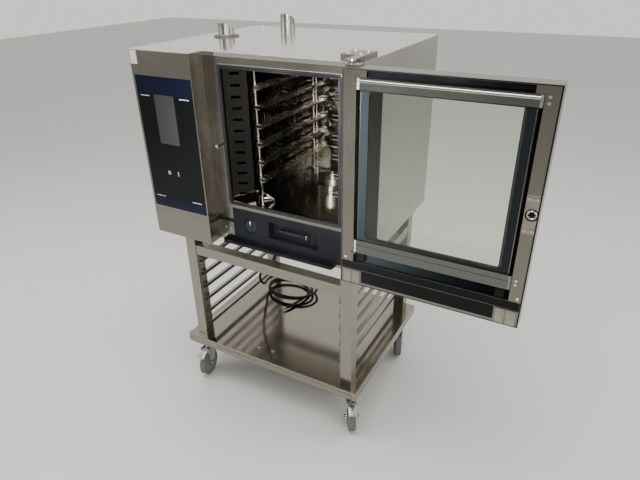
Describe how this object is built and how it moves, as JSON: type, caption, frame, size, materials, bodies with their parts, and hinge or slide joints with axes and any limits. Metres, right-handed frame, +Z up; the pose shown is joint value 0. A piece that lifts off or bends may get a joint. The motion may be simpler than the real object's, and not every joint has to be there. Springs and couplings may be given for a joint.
{
  "type": "combi steamer oven on wheeled stand",
  "caption": "Free-standing combi steamer oven with a side-hung glass door swung fully open, tray racks, touch panel and a wheeled tray stand.",
  "frame": {"origin": "on the floor under the middle of the object's outline with the door open", "axes": "+Z up, +X to the right seen from the front, +Y towards the back"},
  "size_m": [1.42, 0.8464, 1.575],
  "materials": {
    "stainless": "brushed stainless sheet with a fine grain",
    "stainless_top": "brushed stainless, lightly reflective",
    "stand_steel": "brushed stainless tube",
    "shelf_steel": "glossy rolled stainless",
    "liner_steel": "polished stainless, heat darkened",
    "rack_wire": "polished stainless rod and channel",
    "chrome": "bright plated steel",
    "aluminium": "satin anodised",
    "black_glass": "black printed glass, glossy",
    "screen": "unlit display",
    "clear_glass": "clear tempered glass",
    "gasket": "silicone, matt",
    "fascia_plastic": "black moulded plastic",
    "drawer_plastic": "black, slightly glossy",
    "knob_plastic": "dark moulded plastic",
    "gutter_plastic": "black moulded plastic",
    "insulation_wool": "mineral wool blanket",
    "motor_paint": "dark painted casting",
    "heater_tube": "oxidised sheath",
    "board": "circuit board",
    "tyre": "grey rubber tyre",
    "pedal": "plated pressed steel",
    "cord_sheath": "black rubber sheath",
    "cord_cores": "insulated cores with ferrules",
    "gland_plastic": "black nylon",
    "collar": "dark sealing collar"
  },
  "bodies": {
    "oven_and_stand": {"base_tray": "stainless", "boiler": "stainless", "castor_plates": "chrome", "cavity_liner": "liner_steel", "control_board": "board", "control_glass": "black_glass", "control_housing": "stainless", "cord_coil": "cord_sheath", "cord_end": "cord_cores", "cord_feed": "cord_sheath", "cord_gland": "gland_plastic", "cord_tail": "cord_sheath", "door_gasket": "gasket", "drip_gutter": "gutter_plastic", "fan_motor": "motor_paint", "front_frame": "stainless", "heating_element": "heater_tube", "hinge_brackets": "stainless", "insulation": "insulation_wool", "ladder_strips": "stand_steel", "left_rack": "rack_wire", "left_side_panel": "stainless", "lower_fascia": "fascia_plastic", "rear_panel": "stainless", "right_rack": "rack_wire", "right_side_panel": "stainless", "screw_heads": "chrome", "stand_legs": "stand_steel", "stand_rails": "stand_steel", "stand_shelf": "shelf_steel", "strike_pin": "chrome", "suction_panel": "liner_steel", "top_panel": "stainless_top", "touch_screen": "screen", "tray_runners": "stand_steel", "vent_collar": "collar", "vent_pipes": "stainless"},
    "door": {"door_frame": "stainless", "door_outer_glass": "clear_glass", "door_drip_channel": "gutter_plastic", "latch_plate": "aluminium", "door_screws": "chrome"},
    "inner_glass_unit": {"inner_glass": "clear_glass", "inner_glass_rails": "aluminium"},
    "door_latch": {"door_handle": "fascia_plastic", "latch_rotor": "chrome"},
    "fan": {"fan_wheel": "stainless"},
    "knob": {"selector_knob": "knob_plastic"},
    "drawer": {"service_drawer": "drawer_plastic"},
    "strainer": {"drain_strainer": "rack_wire"},
    "swivel_front_left": {"castor_fork_front_left": "chrome"},
    "wheel_front_left": {"castor_wheel_front_left": "tyre"},
    "pedal_front_left": {"brake_pedal_front_left": "pedal"},
    "swivel_front_right": {"castor_fork_front_right": "chrome"},
    "wheel_front_right": {"castor_wheel_front_right": "tyre"},
    "pedal_front_right": {"brake_pedal_front_right": "pedal"},
    "swivel_rear_left": {"castor_fork_rear_left": "chrome"},
    "wheel_rear_left": {"castor_wheel_rear_left": "tyre"},
    "swivel_rear_right": {"castor_fork_rear_right": "chrome"},
    "wheel_rear_right": {"castor_wheel_rear_right": "tyre"}
  },
  "joints": [
    {"name": "door_swing", "type": "hinge", "parent": "oven_and_stand", "child": "door", "pos_m": [0.154, -0.35575, 1.185], "axis": [0, 0, 1], "range_deg": [-180, 0]},
    {"name": "inner_glass_swing", "type": "hinge", "parent": "door", "child": "inner_glass_unit", "pos_m": [0.201, -0.41525, 1.185], "axis": [0, 0, -1], "range_deg": [0, 90]},
    {"name": "latch_turn", "type": "hinge", "parent": "door", "child": "door_latch", "pos_m": [0.692, -0.35675, 1.198], "axis": [0, 1, 0], "range_deg": [-35, 35]},
    {"name": "fan_spin", "type": "hinge", "parent": "oven_and_stand", "child": "fan", "pos_m": [-0.355, -0.00675, 1.223], "axis": [1, 0, 0], "continuous": true},
    {"name": "knob_turn", "type": "hinge", "parent": "oven_and_stand", "child": "knob", "pos_m": [-0.291, -0.28675, 0.888], "axis": [0, 1, 0], "range_deg": [-135, 135]},
    {"name": "drawer_slide", "type": "slide", "parent": "oven_and_stand", "child": "drawer", "axis": [0, -1, 0], "range_m": [0, 0.06]},
    {"name": "strainer_lift", "type": "slide", "parent": "oven_and_stand", "child": "strainer", "axis": [0, 0, 1], "range_m": [0, 0.1]},
    {"name": "swivel_front_left", "type": "hinge", "parent": "oven_and_stand", "child": "swivel_front_left", "pos_m": [-0.65, -0.20875, 0.146], "axis": [0, 0, 1], "continuous": true},
    {"name": "roll_front_left", "type": "hinge", "parent": "swivel_front_left", "child": "wheel_front_left", "pos_m": [-0.6434, -0.24617, 0.0625], "axis": [0.9848, 0.1736, 0], "continuous": true},
    {"name": "brake_front_left", "type": "hinge", "parent": "swivel_front_left", "child": "pedal_front_left", "pos_m": [-0.64028, -0.2639, 0.143], "axis": [0.9848, 0.1736, 0], "range_deg": [0, 15]},
    {"name": "swivel_front_right", "type": "hinge", "parent": "oven_and_stand", "child": "swivel_front_right", "pos_m": [0.099, -0.20875, 0.146], "axis": [0, 0, 1], "continuous": true},
    {"name": "roll_front_right", "type": "hinge", "parent": "swivel_front_right", "child": "wheel_front_right", "pos_m": [0.11914, -0.24098, 0.0625], "axis": [0.848, 0.5299, 0], "continuous": true},
    {"name": "brake_front_right", "type": "hinge", "parent": "swivel_front_right", "child": "pedal_front_right", "pos_m": [0.12868, -0.25624, 0.143], "axis": [0.848, 0.5299, 0], "range_deg": [0, 15]},
    {"name": "swivel_rear_left", "type": "hinge", "parent": "oven_and_stand", "child": "swivel_rear_left", "pos_m": [-0.65, 0.34025, 0.146], "axis": [0, 0, 1], "continuous": true},
    {"name": "roll_rear_left", "type": "hinge", "parent": "swivel_rear_left", "child": "wheel_rear_left", "pos_m": [-0.63826, 0.30411, 0.0625], "axis": [0.9511, 0.309, 0], "continuous": true},
    {"name": "swivel_rear_right", "type": "hinge", "parent": "oven_and_stand", "child": "swivel_rear_right", "pos_m": [0.099, 0.34025, 0.146], "axis": [0, 0, 1], "continuous": true},
    {"name": "roll_rear_right", "type": "hinge", "parent": "swivel_rear_right", "child": "wheel_rear_right", "pos_m": [0.11566, 0.3061, 0.0625], "axis": [0.8988, 0.4384, 0], "continuous": true}
  ]
}
